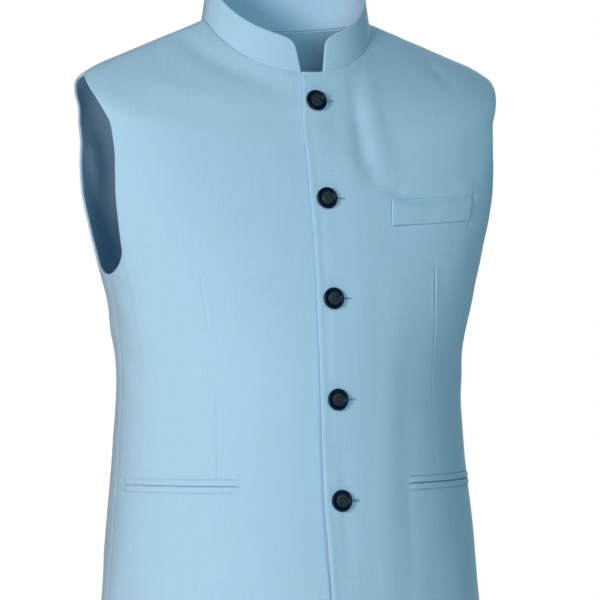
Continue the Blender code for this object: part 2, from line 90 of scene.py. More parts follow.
Section = namedtuple(
    "Section", "station front_z back_z half_width side_y front_depth back_depth square belly")
SECTIONS = [
    (-0.69, -0.694, -0.69, 0.216, -0.018, 0.132, 0.134, 2.25, 0.03),
    (-0.6, -0.601, -0.6, 0.2065, -0.019, 0.128, 0.124, 2.25, 0.032),
    (-0.52, -0.52, -0.52, 0.199, -0.017, 0.126, 0.117, 2.25, 0.032),
    (-0.44, -0.44, -0.44, 0.1915, -0.013, 0.122, 0.106, 2.25, 0.032),
    (-0.36, -0.361, -0.36, 0.1885, -0.013, 0.116, 0.096, 2.25, 0.03),
    (-0.3, -0.304, -0.302, 0.196, -0.016, 0.107, 0.102, 2.35, 0.02),
    (-0.268, -0.276, -0.272, 0.203, -0.016, 0.104, 0.107, 2.4, 0.014),
    (-0.225, -0.24, -0.234, 0.214, -0.015, 0.1, 0.111, 2.4, 0.008),
    (-0.165, -0.194, -0.18, 0.229, -0.014, 0.092, 0.112, 2.4, 0.003),
    (-0.12, -0.163, -0.139, 0.2345, -0.013, 0.086, 0.108, 2.35, 0.0),
    (-0.085, -0.137, -0.102, 0.236, -0.011, 0.081, 0.099, 2.3, 0.0),
    (-0.062, -0.117, -0.073, 0.233, -0.009, 0.077, 0.09, 2.25, 0.0),
    (-0.048, -0.103, -0.055, 0.212, -0.007, 0.074, 0.084, 2.2, 0.0),
    (-0.034, -0.089, -0.038, 0.178, -0.005, 0.072, 0.077, 2.15, 0.0),
    (-0.018, -0.073, -0.021, 0.1375, -0.002, 0.069, 0.068, 2.08, 0.0),
    (0.0, -0.055, -0.008, 0.092, 0.0, 0.065, 0.058, 2.0, 0.0),
]
# Share up the armhole, station, angle of the front's edge and of the back's edge.
ARMHOLE = [
    (0.0, CORNER_STATION, FRONT_CORNER, BACK_CORNER),
    (0.2, -0.183, 63.8, 65.8),
    (0.4, -0.144, 61.3, 63.2),
    (0.6, -0.107, 60.5, 62.3),
    (0.75, -0.082, 62.3, 64.2),
    (0.88, -0.065, 70.0, 71.8),
    (1.0, -0.057, 90.0, 90.0),
]
# Station, how far the left front reaches past the centre line, and how far its edge swings out.
LAP = [
    (-0.69, 0.0075, 0.0060), (-0.62, 0.0112, 0.0052), (-0.56, 0.0145, 0.0044), (-0.51, 0.0172, 0.0034),
    (-0.44, 0.0174, 0.0022), (-0.36, 0.0169, 0.0008), (-0.28, 0.0166, 0.0), (-0.10, 0.0166, 0.0),
    (-0.06, 0.0166, 0.0), (-0.03, 0.0136, 0.0), (0.0, 0.0095, 0.0),
]
# Distance from the band's end and its height there.
COLLAR_CORNER = [
    (0.0, 0.0210), (0.0015, 0.0268), (0.0040, 0.0306), (0.0090, 0.0337), (0.0160, 0.0353),
    (0.0280, 0.0362), (0.0450, 0.0366),
]
# Each fold: its half width and how far the cloth stands out (+) or in (-), in mm, and then a path
# of angles in degrees and stations in mm.
NECK_FOLDS = [
    (13, -2.8, (-86, -12), (-72, -11.2), (-53, -10.8), (-38, -10.8), (-26, -12), (-10, -18.5)),
    (14, 0.9, (-74, -37), (-56, -38), (-39, -37), (-25, -40), (-12, -47)),
    (12.5, -3, (33, -2), (17, -27), (12.3, -53), (11.8, -83), (13.2, -113), (14.6, -140)),
    (15, 1.1, (39, -6), (22, -30), (16.2, -61), (17, -97), (19, -137)),
]

# ---- Sizes of the looks ----
FACET = 0.0030                  # width of a cloth facet
EDGE_STEPS = (0.0, 0.08e-3, 0.25e-3, 0.55e-3, 1.2e-3, 2.0e-3, 3.0e-3, 4.2e-3)
CLOSEST_STEP = 0.05e-3
FREE_EDGE = 0.0012              # a turned edge is rounded over this width
SEAM_EDGE = 0.0008
SEAM_OVERLAP = 0.0003           # panels run this far past a seam, so it never gapes
FRONT_ROLL = 0.0052             # the left front's edge is pressed down over this width
FRONT_ROLL_THIN = 0.12          # and loses this share of its half thickness there
FRONT_ROLL_DROP = 0.00015
FRONT_GROOVE_AT = 0.0090        # the edge stitching draws the cloth in this far from the edge
FRONT_GROOVE_WIDTH = 0.0030
FRONT_GROOVE_DEPTH = 0.00040
UNDER_DIP_AT = -0.0002          # the right front dips along a line this far outside the edge on it
UNDER_DIP_WIDTH = 0.0016
UNDER_DIP_DEPTH = 0.0005
DART_HALF_WIDTH = 0.0009
DART_END_DIMPLE = 0.0004
WELT_EDGES = (0.0010, 0.0014, 0.0009, 0.0034)   # rounding of the bottom, top, inner and outer end
JET_EDGES = (0.0022, 0.0022, 0.0012, 0.0012)
COLLAR_EDGES = (SEAM_EDGE, 0.0016, 0.0016, 0.0016)
SLIT_DEPTH = 0.0023
JET_SEAM_DEPTH = 0.0007
UNEVEN_RISE = 0.00022
YARN_PITCH = 0.0011
BASKET_PITCH = 0.0044
HOLE_START = -0.0022            # a buttonhole's ends, from centre front
HOLE_END = 0.0195
HOLE_LIP = 0.00025              # its stitches start this far from its middle
HOLE_STITCH = 0.0015            # and end this far from it
HOLE_BAR = 0.0012               # length and half height of the bar at its outer end
STITCH_INSET = 0.0042
STITCH_PITCH = 0.0052
STITCH_LENGTH = 0.0016
STITCH_RADIUS = 0.00022
STITCH_STRAY = 0.00008          # how far the end of a hand stitch may stray
THREAD_SIDES = 6
STRAND_GAP = 0.00042            # between the three strands through a pair of button holes
SHANK_RADIUS = 0.0014

CLOTH_COLOUR = (0.378, 0.595, 0.768)
THREAD_COLOUR = (0.255, 0.465, 0.640)
# painted shadow: the dark colour of the thread along each buttonhole's slit, standing for the shade in the
# opening
HOLE_SHADOW_COLOUR = (0.15, 0.27, 0.37)
DARK_THREAD_COLOUR = (0.012, 0.017, 0.030)
BUTTON_COLOUR = (0.0010, 0.0050, 0.0145)
# the button's paler middle: partly its own tone, partly a painted highlight on its dish
BUTTON_MIDDLE_COLOUR = (0.0165, 0.0235, 0.0285)
FLOOR_COLOUR = (0.86, 0.86, 0.85)
AMBIENT = 0.08
AMBIENT_COLOUR = (0.68, 1.0, 1.15, 1.0)
# Each light: its angles round from the front and above the horizon, size, power and colour.
LIGHTS = [
    ("key", -53.0, 8.0, 1.0, 88.0, (1.0, 0.86, 0.81)),
    ("fill", -2.0, 17.0, 1.6, 45.0, (0.64, 0.95, 1.0)),
    ("back", 138.0, 28.0, 1.2, 68.0, (0.86, 0.98, 1.0)),
]
LIGHT_DISTANCE = 3.6
FLOOR_Z = -1.45
FLOOR_RADIUS = 2.6
CAMERA_YAW = 23.0               # round from the front, towards the wearer's right
CAMERA_DISTANCE = 5.0
CAMERA_SHIFT = 0.0150

# Soft creases, written as the neck folds are: the right front, the left front, the back with its
# folds at the waist, drag from the armholes and swing at the hem, and the shoulders.
CREASES = [
    (17, -0.9, (-59, -95), (-50, -118), (-38, -152)),
    (14, 0.8, (-60, -142), (-52, -160), (-43, -188)),
    (15, -1.1, (-65, -232), (-55, -262), (-44, -281)),
    (13, 1, (-86, -282), (-72, -300), (-58, -309)),
    (12, -1.4, (-90, -338), (-78, -347), (-63, -366)),
    (11, 1, (-90, -362), (-76, -374), (-66, -379)),
    (14, -0.9, (-90, -398), (-80, -402), (-71, -414)),
    (20, 1.6, (-52, -520), (-55, -600), (-56, -700)),
    (18, -1.7, (-72, -560), (-75, -630), (-78, -700)),
    (17, -0.9, (-25, -590), (-24, -650), (-24, -700)),
    (15, -0.9, (57, -88), (49, -104), (40, -132)),
    (13, -1, (64, -218), (57, -238), (50, -248)),
    (16, 1.1, (84, -276), (70, -296), (55, -318)),
    (11, -1.2, (90, -326), (80, -341), (69, -347)),
    (14, 1.2, (90, -352), (77, -366), (60, -386)),
    (12, -1, (90, -388), (82, -396), (72, -399)),
    (6, -0.5, (24.3, -468), (24.6, -520), (24.9, -585)),
    (4.5, -0.9, (17.8, -146), (20.5, -145), (23, -143.5)),
    (6, 0.8, (38.5, -138), (44, -146), (50.5, -152)),
    (2.4, -1.8, (47.9, -153), (47.5, -172), (47.3, -203)),
    (9, -1, (0.3, -405), (0.9, -460), (1.1, -506), (1.3, -560), (1.6, -640)),
    (8, -1, (26, -4), (16.1, -30), (11.8, -54), (11.2, -90), (11.4, -120)),
    (22, 1, (-3, -1), (-2.6, -18), (-2.1, -42), (-1.5, -70), (-0.9, -106)),
    (15, -1.4, (18, -3), (10.4, -23), (7.1, -44), (6.3, -62), (6.8, -92)),
    (18, 1.8, (22.3, -210), (21.6, -306), (19.8, -390), (17.6, -462), (16, -533), (15.6, -640)),
    (21, 1.5, (44, -540), (46, -610), (47, -700)),
    (17, -1.5, (66, -530), (68, -620), (70, -700)),
    (19, 1.2, (84, -580), (85, -640), (86, -700)),
    (13, -4.7, (152, -338), (166, -346), (181, -343)),
    (14, -4, (-177, -352), (-163, -364), (-146, -367)),
    (10, 3.1, (158, -366), (172, -372), (190, -369)),
    (9, 2.5, (133, -352), (144, -359), (153, -361)),
    (15, -3.3, (-172, -388), (-157, -397), (-143, -395)),
    (14, -4, (112, -268), (124, -294), (135, -312)),
    (16, -3.7, (-110, -262), (-120, -286), (-134, -322)),
    (12, 1.9, (96, -300), (108, -322), (118, -332)),
    (13, 1.8, (-94, -306), (-105, -318), (-119, -345)),
    (16, -3.7, (117, -110), (128, -150), (131, -196)),
    (17, -4, (-118, -98), (-127, -133), (-128, -186)),
    (19, 2.5, (138, -86), (144, -128), (146, -160)),
    (18, 2.6, (-141, -90), (-146, -122), (-149, -172)),
    (9, -1.2, (128, -10), (155, -14), (182, -13)),
    (10, 0.9, (-170, -20), (-150, -21), (-122, -16)),
    (22, 4.7, (135, -520), (137, -600), (140, -700)),
    (19, -4, (112, -540), (113, -620), (114, -700)),
    (21, -3.9, (163, -560), (164, -630), (166, -700)),
    (20, 4.3, (-138, -500), (-140, -590), (-141, -700)),
    (18, -3.4, (-160, -570), (-163, -640), (-164, -700)),
    (21, -4.3, (-112, -550), (-114, -630), (-116, -700)),
    (11, -0.9, (76, -20), (66, -30), (55, -48)),
    (12, -0.8, (-80, -34), (-70, -42), (-60, -58)),
    (12, -0.9, (104, -18), (116, -30), (124, -50)),
    (11, -1, (-102, -24), (-115, -36), (-126, -52)),
]
# Front darts, right and left: a path from the chest down to the hip pocket, and the dart's depth
# by its share of the way down.
DARTS = [
    ((-38.2, -0.2500), (-38.5, -0.2830), (-38.2, -0.3510), (-37.3, -0.4040), (-37.0, -0.4700)),
    ((34.4, -0.2440), (36.5, -0.2840), (38.4, -0.3140), (39.1, -0.3500), (38.6, -0.4700)),
]
DART_DEPTHS = [
    ((0.0, 0.0003), (0.15, 0.00045), (0.5, 0.0002), (0.8, 0.0005), (1.0, 0.0006)),
    ((0.0, 0.0006), (0.2, 0.0009), (0.35, 0.0005), (0.6, 0.0002), (1.0, 0.0001)),
]
# Puckers beside an edge: how far the cloth rises and falls, how far in, and their greatest length.
PUCKERS = [
    ("side", 0.00022, 0.009, 0.034),
    ("centre_back", 0.00018, 0.008, 0.040),
    ("shoulder", 0.00022, 0.009, 0.026),
    ("neck", 0.00026, 0.010, 0.024),
    ("armhole", 0.00018, 0.013, 0.060),
    ("underarm", 0.00026, 0.012, 0.030),
    ("hem", 0.00028, 0.016, 0.060),
    ("front", 0.00022, 0.011, 0.070),
]
# Pressed seams: how deep they lie and over what reach.
SEAM_DIPS = [("side", 0.0006, 0.0024), ("centre_back", 0.0009, 0.0028), ("shoulder", 0.0006, 0.0022)]
# Turnings on the inside: how wide they are and how much they add to the cloth.
TURNINGS = [
    ("side", 0.012, 0.0004),
    ("centre_back", 0.012, 0.0004),
    ("shoulder", 0.010, 0.0004),
    ("hem", 0.030, 0.0005),
    ("armhole", 0.009, 0.0004),
    ("underarm", 0.009, 0.0004),
    ("front", 0.045, 0.0005),
]
# A button's radius and height, from under its middle round the rim to the top of its middle.
BUTTON_PROFILE = [
    (0.0, 0.0), (0.0052, 0.0), (0.0091, 0.0001), (0.0101, 0.0006), (0.0108, 0.0014), (0.0112, 0.0023),
    (0.01115, 0.0030), (0.0108, 0.0036), (0.0103, 0.0040), (0.0096, 0.0042), (0.0089, 0.0041),
    (0.0083, 0.0037), (0.0078, 0.0031), (0.0072, 0.0027), (0.0064, 0.00255), (0.0054, 0.0026),
    (0.0044, 0.00275), (0.0034, 0.00285), (0.0020, 0.0028), (0.0, 0.0027),
]
BUTTON_TURNS = 72
BUTTON_MIDDLE_RADIUS = 0.0065
THREAD_HOLE_RADIUS = 0.00085


# ---- Curves and the surface ----
def smooth_table(rows):
    """A smooth curve through rows that start with their key: the CAD's own formula."""
    table = np.array(rows, float)
    keys, values = table[:, 0], table[:, 1:]
    steps = np.diff(keys)[:, None]
    rises = np.diff(values, axis=0) / steps
    inner = (steps[1:] * rises[:-1] + steps[:-1] * rises[1:]) / (steps[1:] + steps[:-1])
    slopes = np.vstack([rises[:1], inner, rises[-1:]])

    def curve(key):
        key = np.asarray(key, float)
        i = np.clip(np.searchsorted(keys, key, side="right") - 1, 0, len(keys) - 2)
        h = (keys[i + 1] - keys[i])[..., None]
        t = (key - keys[i])[..., None] / h
        return ((2 * t**3 - 3 * t**2 + 1) * values[i] + (t**3 - 2 * t**2 + t) * h * slopes[i]
                + (3 * t**2 - 2 * t**3) * values[i + 1] + (t**3 - t**2) * h * slopes[i + 1])

    return curve


section_table = smooth_table(SECTIONS)
armhole_table = smooth_table(ARMHOLE)
lap_table = smooth_table(LAP)
collar_table = smooth_table(COLLAR_CORNER)


def section_at(station):
    return Section(station, *np.moveaxis(section_table(station), -1, 0))


def smooth_step(t):
    t = np.clip(t, 0.0, 1.0)
    return t * t * (3.0 - 2.0 * t)


def bell(distance, width):
    return np.exp(-(distance / width)**2)


def unit(vectors):
    return vectors / np.linalg.norm(vectors, axis=-1, keepdims=True)


def run_along(points, axis=0):
    """Distance travelled from the start of lines of points."""
    lengths = np.linalg.norm(np.diff(points, axis=axis), axis=-1)
    return np.insert(np.cumsum(lengths, axis=axis), 0, 0.0, axis=axis)


def bare_points(angle, station):
    """Points of the outer surface without its folds."""
    angle, station = np.broadcast_arrays(np.asarray(angle, float), np.asarray(station, float))
    row = section_at(station)
    s = np.sin(np.radians(angle))
    c = np.cos(np.radians(angle))
    round_off = (np.abs(s)**row.square + np.abs(c)**row.square)**(1.0 / row.square)
    s = s / round_off
    c = c / round_off
    forward = np.where(c > 0, (row.front_depth - row.belly) * c + row.belly * c**3, row.back_depth * c)
    end_z = np.where(c > 0, row.front_z, row.back_z)
    k = RIDGE_ROUNDING
    fall = (np.sqrt(c * c + k * k) - k) / (math.sqrt(1.0 + k * k) - k)
    return np.stack([row.half_width * s, row.side_y - forward, station + (end_z - station) * fall], -1)


def surface_normals(angle, station, turn=0.5, rise=0.0015):
    across = bare_points(angle + turn, station) - bare_points(angle - turn, station)
    up = bare_points(angle, station + rise) - bare_points(angle, station - rise)
    return unit(np.cross(across, up))


def nearest_on(points, line):
    """Distance of each point from a line of points, and its share along the line."""
    start, span = line[:-1], np.diff(line, axis=0)
    square = np.maximum(np.sum(span * span, -1), 1e-18)
    distance, along = np.empty((2, len(points)))
    for first in range(0, len(points), 4000):       # in parts, to keep memory small
        part = slice(first, first + 4000)
        away = points[part, None] - start
        share = np.clip(np.sum(away * span, -1) / square, 0.0, 1.0)
        gap = np.linalg.norm(away - span * share[..., None], axis=-1)
        best = np.argmin(gap, axis=1)
        rows = np.arange(len(best))
        distance[part] = gap[rows, best]
        along[part] = (best + share[rows, best]) / len(span)
    return distance, along


def near_line(points, line, reach):
    """Indices of the points within reach of a line, their distance from it and share along it."""
    close = (points > line.min(axis=0) - reach) & (points < line.max(axis=0) + reach)
    index = np.flatnonzero(np.all(close, axis=-1))
    distance, along = nearest_on(points[index], line)
    keep = distance < reach
    return index[keep], distance[keep], along[keep]


def path_line(path):
    """A path of (angle, station) points as a fine smooth line on the bare surface."""
    curve = smooth_table([(i, *point) for i, point in enumerate(path)])
    places = curve(np.linspace(0.0, len(path) - 1.0, 10 * (len(path) - 1) + 1))
    return bare_points(places[:, 0], places[:, 1])


Fold = namedtuple("Fold", "half_width rise line")


def folds(table):
    return [Fold(half / 1000, rise / 1000, path_line([(angle, station / 1000) for angle, station in path]))
            for half, rise, *path in table]


neck_folds = folds(NECK_FOLDS)
creases = folds(CREASES)
dart_lines = [path_line(path) for path in DARTS]


def fold_relief(points):
    """How far the folds move the cloth: the strongest neck rise and dip, and all the creases."""
    flat = points.reshape(-1, 3)
    highest, lowest, total = np.zeros((3, len(flat)))
    for table, power in ((neck_folds, 0.6), (creases, 1.0)):
        for fold in table:
            index, distance, along = near_line(flat, fold.line, 3.0 * fold.half_width)
            value = fold.rise * np.sin(math.pi * along)**power * bell(distance, fold.half_width)
            if table is creases:
                total[index] += value
            else:
                highest[index] = np.maximum(highest[index], value)
                lowest[index] = np.minimum(lowest[index], value)
    return (highest + lowest + total).reshape(points.shape[:-1])


def cloth_points(angle, station, offset):
    """Points at an offset outside the folded surface."""
    points = bare_points(angle, station)
    return points + surface_normals(angle, station) * (offset + fold_relief(points))[..., None]


def rise_to(goal, low, high, height):
    """The station between low and high where a rising height passes goal, for arrays."""
    low = np.broadcast_to(low, np.shape(goal)).astype(float)
    high = np.broadcast_to(high, np.shape(goal)).astype(float)
    for _ in range(40):
        middle = (low + high) / 2.0
        below = height(middle) < goal
        low = np.where(below, middle, low)
        high = np.where(below, high, middle)
    return (low + high) / 2.0


def station_at_height(angle, z):
    return rise_to(np.asarray(z, float), HEM_STATION, 0.0,
                   lambda station: bare_points(angle, station)[..., 2])


def angle_at_x(x, station):
    row = section_at(station)
    s = np.minimum(x / row.half_width, 1.0)
    return np.degrees(np.arctan2(s, (1.0 - s**row.square)**(1.0 / row.square)))


def place_seen_at(x, z, is_front):
    """Angle from the centre line and station of the surface points seen at x, z from the front."""
    top = rise_to(-x, WIDEST_STATION, 0.0, lambda station: -section_at(station).half_width)

    def height(station):
        angle = angle_at_x(x, station)
        return bare_points(angle if is_front else 180.0 - angle, station)[..., 2]

    station = rise_to(z, CORNER_STATION - 0.03, top, height)
    return angle_at_x(x, station), station


def lap_lift(share, station):
    """How far the left front is lifted at a share of its width, where it lies over the right."""
    lift = LAP_LIFT * (1.0 - smooth_step((share - LAP_LIFT_FULL) / (LAP_LIFT_END - LAP_LIFT_FULL)))
    swing = lap_table(station)[..., 1]
    return lift + swing * (1.0 - smooth_step((share + LAP_SHARE) / (SWING_END + LAP_SHARE)))


def lap_lift_at(angle, station):
    rise = np.clip((station - CORNER_STATION) / -CORNER_STATION, 0.0, 1.0)
    return lap_lift(angle / (FRONT_CORNER * (1.0 - rise) + 90.0 / NECK_SHARE * rise), station)


# ---- Meshes ----
def add_object(name, data):
    obj = bpy.data.objects.new(name, data)
    bpy.context.scene.collection.objects.link(obj)
    return obj


def add_mesh(name, vertices, faces):
    mesh = bpy.data.meshes.new(name)
    mesh.from_pydata(vertices.tolist(), [], faces)
    mesh.shade_smooth()
    return add_object(name, mesh)


def mesh_from(work, name):
    mesh = bpy.data.meshes.new(name)
    work.to_mesh(mesh)
    work.free()
    return mesh


def dress(obj, node=None, material=None):
    """Give a piece its body, the CAD node it stands for and its material."""
    if material:
        obj.data.materials.append(material)
    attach(obj, "root")
    if node:
        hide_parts(node)


def spaced(start, end, count):
    return list(np.linspace(start, end, count + 1))


def steps_from(edge, length, steps=EDGE_STEPS):
    """Fine steps from an edge's share, over a run of that length; a negative one runs back."""
    return [edge + step / length for step in steps]


def tidy_steps(values, length):
    """Sorted shares of a length, without those that lie closer than the edge steps."""
    out = []
    for value in sorted(set(round(v, 9) for v in values)):
        if not out or value - out[-1] > CLOSEST_STEP / length:
            out.append(value)
    return np.array(out)


def edged_shares(count, length, steps=EDGE_STEPS):
    """Even shares of a length from 0 to 1, with fine steps in from both ends."""
    values = spaced(0.0, 1.0, count) + steps_from(0.0, length, steps) + steps_from(1.0, -length, steps)
    return tidy_steps(values, length)


def flat_grid(columns, rows, first=0):
    """The column and row of every point of a grid, and the points' indices in the grid's shape."""
    across, up = np.meshgrid(columns, rows)
    return across.ravel(), up.ravel(), np.arange(first, first + across.size).reshape(across.shape)


def grid_quads(index):
    """Quads of a block of vertex indices, wound to face out for rising columns and rows."""
    return np.stack([index[:-1, :-1], index[:-1, 1:], index[1:, 1:], index[1:, :-1]], -1).reshape(-1, 4)


def grid_edges(index, reaches):
    """A grid's first and last row and first and last column, each with its rounding."""
    return dict(enumerate(zip((index[0], index[-1], index[:, 0], index[:, -1]), reaches)))


def rounded_edges(points, edges):
    """From each edge's line of vertices and rounding: the rim's mask, the share of the thickness
    that the rounding leaves, and every point's distance from each edge."""
    rim = np.zeros(len(points), bool)
    part = np.ones(len(points))
    gaps = {}
    for edge, (line, reach) in edges.items():
        rim[line] = True
        gaps[edge] = nearest_on(points, points[line])[0]
        inward = 1.0 - np.clip(gaps[edge] / reach, 0.0, 1.0)
        part = np.minimum(part, np.sqrt(1.0 - inward * inward))
    return rim, part, gaps


def shell_object(name, middle, out, above, below, quads, rim, gaps, uv):
    """A closed cloth shell that reaches above and below its middle surface, along out.

    Its two layers meet at the rim. uv is in metres along the weft and the warp.
    """
    outer = np.where(rim[:, None], middle, middle + out * above[:, None])
    inner = middle - out * below[:, None]
    twin = np.arange(len(outer)) + len(outer)
    twin[rim] = np.flatnonzero(rim)
    used = np.unique(np.concatenate([quads.ravel(), twin[quads].ravel()]))
    renumber = np.full(2 * len(outer), -1)
    renumber[used] = np.arange(len(used))
    faces = np.concatenate([renumber[quads], renumber[twin[quads]][:, ::-1]])
    obj = add_mesh(name, np.concatenate([outer, inner])[used], faces.tolist())
    corner_uv = np.tile(uv, (2, 1))[used][faces.ravel()]
    layer = obj.data.uv_layers.new(name="weave")
    layer.data.foreach_set("uv", corner_uv.astype(np.float32).ravel())
    edge_gap = np.minimum(np.min(list(gaps.values()), axis=0), 0.05)
    attribute = obj.data.attributes.new("edge_gap", "FLOAT", "POINT")
    attribute.data.foreach_set("value", np.tile(edge_gap, 2)[used].astype(np.float32))
    return obj


# ---- Panels ----
def panel_places(share, level, is_front):
    """Angle from the centre line and station of a panel's grid points, as the CAD places them.

    Above the corner station they are blended between the four edges, as seen from the front.
    """
    corner = FRONT_CORNER if is_front else BACK_CORNER
    angle = np.where(share <= 1.0, corner * share, corner + (90.0 - corner) * (share - 1.0))
    dip = np.sqrt(np.clip(1.0 - (2.0 - np.clip(share, 1.0, 2.0))**2, 0.0, 1.0))
    top = CORNER_STATION - (CORNER_STATION - ARMHOLE_BOTTOM) * dip
    station = HEM_STATION + (top - HEM_STATION) * np.minimum(level, 1.0)
    upper = level > 1.0
    across, high = share[upper], level[upper] - 1.0
    row = armhole_table(high)
    on_shoulder = SHOULDER_TIP * (across - NECK_SHARE) / (1.0 - NECK_SHARE)
    base = (corner * across, CORNER_STATION)
    centre = (0.0, CORNER_STATION * (1.0 - high))
    armhole = (row[..., 1 if is_front else 2], row[..., 0])
    top = (np.minimum(90.0 * across / NECK_SHARE, 90.0), np.minimum(on_shoulder, 0.0))

    def seen(angle, station):
        return bare_points(angle if is_front else 180.0 - angle, station)[..., [0, 2]]

    a, h = across[:, None], high[:, None]
    place = (1 - h) * seen(*base) + h * seen(*top) + (1 - a) * seen(*centre) + a * seen(*armhole)
    place -= (1 - a) * ((1 - h) * seen(0.0, CORNER_STATION) + h * seen(0.0, 0.0))
    place -= a * ((1 - h) * seen(corner, CORNER_STATION) + h * seen(90.0, SHOULDER_TIP))
    places = place_seen_at(place[:, 0], place[:, 1], is_front)
    for at_edge, edge in ((across == 0.0, centre), (across == 1.0, armhole), (high == 1.0, top)):
        places = [np.where(at_edge, exact, found) for exact, found in zip(edge, places)]
    angle[upper], station[upper] = places
    return angle, station


def panel_steps(side, is_front):
    """The shares across, round the underarm, and the low and high levels of a panel's grid."""
    width, around_length, low_length, high_length = 0.215, 0.075, 0.46, 0.24
    across = spaced(0.0, 1.0, int(width / FACET)) + steps_from(1.0, -0.19)
    if is_front:
        # finer beside the chest welt's outer end, or where the left front's edge lies on the right
        fine = (0.715, 0.765, 16) if side > 0 else (0.012 / width, 0.030 / width, 18)
        lap_steps = EDGE_STEPS if side > 0 else EDGE_STEPS[:6]
        across += steps_from(-LAP_SHARE, 0.019 / LAP_SHARE, lap_steps)
        across += spaced(-LAP_SHARE, 0.0, 7) + spaced(*fine)
        dart = [abs(angle) / FRONT_CORNER for angle, _ in DARTS[side > 0]]
        start, end = min(dart) - 0.0035 / width, max(dart) + 0.0035 / width
        across += spaced(start, end, int((end - start) * width / 0.00065))
    else:
        across += steps_from(0.0, 0.22)
    around = [2.0 - math.cos(turn) for turn in spaced(0.0, math.pi / 2, int(around_length / FACET))]
    around += steps_from(2.0, -around_length)
    low = spaced(0.0, 1.0, int(low_length / FACET)) + steps_from(0.0, low_length) + steps_from(1.0, -0.44)
    if is_front:
        pocket = (HIP_POCKET_Z - HEM_STATION) / (CORNER_STATION - HEM_STATION)
        low += list(pocket + np.arange(-0.0086, 0.0087, 0.0006) / 0.465)
    high = spaced(1.0, 2.0, int(0.225 / FACET)) + steps_from(2.0, -high_length)
    return (tidy_steps(across, width), tidy_steps(around, around_length)[1:],
            tidy_steps(low, low_length), tidy_steps(high, high_length)[1:])


def build_panel(name, side, is_front):
    laps_over = is_front and side > 0
    across, around, low, high = panel_steps(side, is_front)
    *low_places, low_index = flat_grid(np.concatenate([across, around]), low)
    *high_places, high_index = flat_grid(across, high, low_index.size)
    share, level = np.hstack([low_places, high_places])
    high_index = np.vstack([low_index[-1:, :len(across)], high_index])
    quads = np.concatenate([grid_quads(low_index), grid_quads(high_index)])

    angle, station = panel_places(np.abs(share), level, is_front)
    past_centre = share < 0.0
    if laps_over:
        centre_station = panel_places(np.zeros_like(share), level, True)[1]
        lap = np.degrees(lap_table(centre_station)[..., 0] / section_at(centre_station).half_width)
        angle = np.where(past_centre, lap * share / LAP_SHARE, angle)
        station = np.where(past_centre, centre_station, station)
    else:
        angle = np.where(past_centre, -angle, angle)
    # The seams' edges run a little past the seam, so that neighbours meet inside it.
    row = section_at(station)
    depth = row.front_depth if is_front else row.back_depth
    angle = np.where(angle >= 89.999, 90.0 + np.degrees(SEAM_OVERLAP / depth), angle)
    if not is_front:
        angle = np.where(angle <= 0.001, -np.degrees(SEAM_OVERLAP / row.half_width), angle)
    body = side * (angle if is_front else 180.0 - angle)
    surface = bare_points(body, station)
    normals = surface_normals(body, station)

    top = high_index[-1]
    on_neck = share[top] <= NECK_SHARE + 1e-6
    centre = np.concatenate([low_index[:, 0], high_index[1:, 0]])
    rim, part, gaps = rounded_edges(surface, {
        "hem": (low_index[0], FREE_EDGE),
        "side": (low_index[:, -1], SEAM_EDGE),
        "underarm": (low_index[-1, len(across) - 1:], FREE_EDGE),
        "armhole": (high_index[:, -1], FREE_EDGE),
        "neck": (top[on_neck], SEAM_EDGE),
        "shoulder": (top[~on_neck], SEAM_EDGE),
        "front" if is_front else "centre_back": (centre, FREE_EDGE if is_front else SEAM_EDGE),
    })
    uv = weave_places(surface, low_index, high_index)
    middle = fold_relief(surface) + seam_relief(surface, gaps, uv.sum(axis=1), side, is_front) - WALL / 2
    turned = np.zeros(len(share))
    for edge, width, rise in TURNINGS:
        if edge in gaps:
            turned = np.maximum(turned, rise * smooth_step((width - gaps[edge]) / 0.0015))
    below = (WALL / 2 + turned) * part
    if laps_over:
        below_neck = smooth_step((-surface[:, 2] - 0.075) / 0.08)
        pressed = (1.0 - smooth_step(gaps["front"] / FRONT_ROLL)) * (0.35 + 0.65 * below_neck)
        groove = bell(gaps["front"] - FRONT_GROOVE_AT, FRONT_GROOVE_WIDTH) * below_neck
        middle += lap_lift(share, station) - FRONT_ROLL_DROP * pressed - FRONT_GROOVE_DEPTH * groove
        part = np.minimum(part, 1.0 - FRONT_ROLL_THIN * pressed)
    return shell_object(name, surface + normals * middle[:, None], normals, WALL / 2 * part, below,
                        quads[:, ::side if is_front else -side], rim, gaps, uv)


def weave_places(surface, low_index, high_index):
    """Metres along the weft from the centre line and along the warp from the hem."""
    uv = np.zeros((len(surface), 2))
    for index in (low_index, high_index):
        uv[index, 1] = run_along(surface[index]) + uv[index[0], 1]
        uv[index, 0] = run_along(surface[index], axis=1)
    return uv


def wander(position, seed, longest, count=7):
    """A smooth uneven wave from -1 to 1 along a position in metres, always the same for a seed."""
    dice = np.random.default_rng(seed)
    total = np.zeros_like(position)
    size = 0.0
    for i in range(count):
        length = longest / (1.0 + 0.62 * i) * dice.uniform(0.9, 1.1)
        weight = 1.0 / (1.0 + 0.5 * i)
        total += weight * np.sin(2 * math.pi * (position / length + dice.uniform()))
        size += weight
    return total / size * 1.6


def unevenness(points, seed):
    """Slight rise and fall of worn cloth, from waves in many directions, from -1 to 1."""
    dice = np.random.default_rng(seed)
    total = np.zeros(len(points))
    for i in range(12):
        finer = 1.0 + 0.35 * i
        direction = unit(dice.normal(size=3) * (1.0, 1.0, 0.7))
        total += np.sin(2 * math.pi * (points @ direction * finer / 0.120 + dice.uniform())) / finer
    return total / 4.0


def under_dip_line():
    """The line on the right front beside the left front's edge, from below the neck to the hem."""
    stations = np.linspace(-0.075, -0.560, 60)
    reach = lap_table(stations)[..., 0] + UNDER_DIP_AT
    return bare_points(-np.degrees(reach / section_at(stations).half_width), stations)


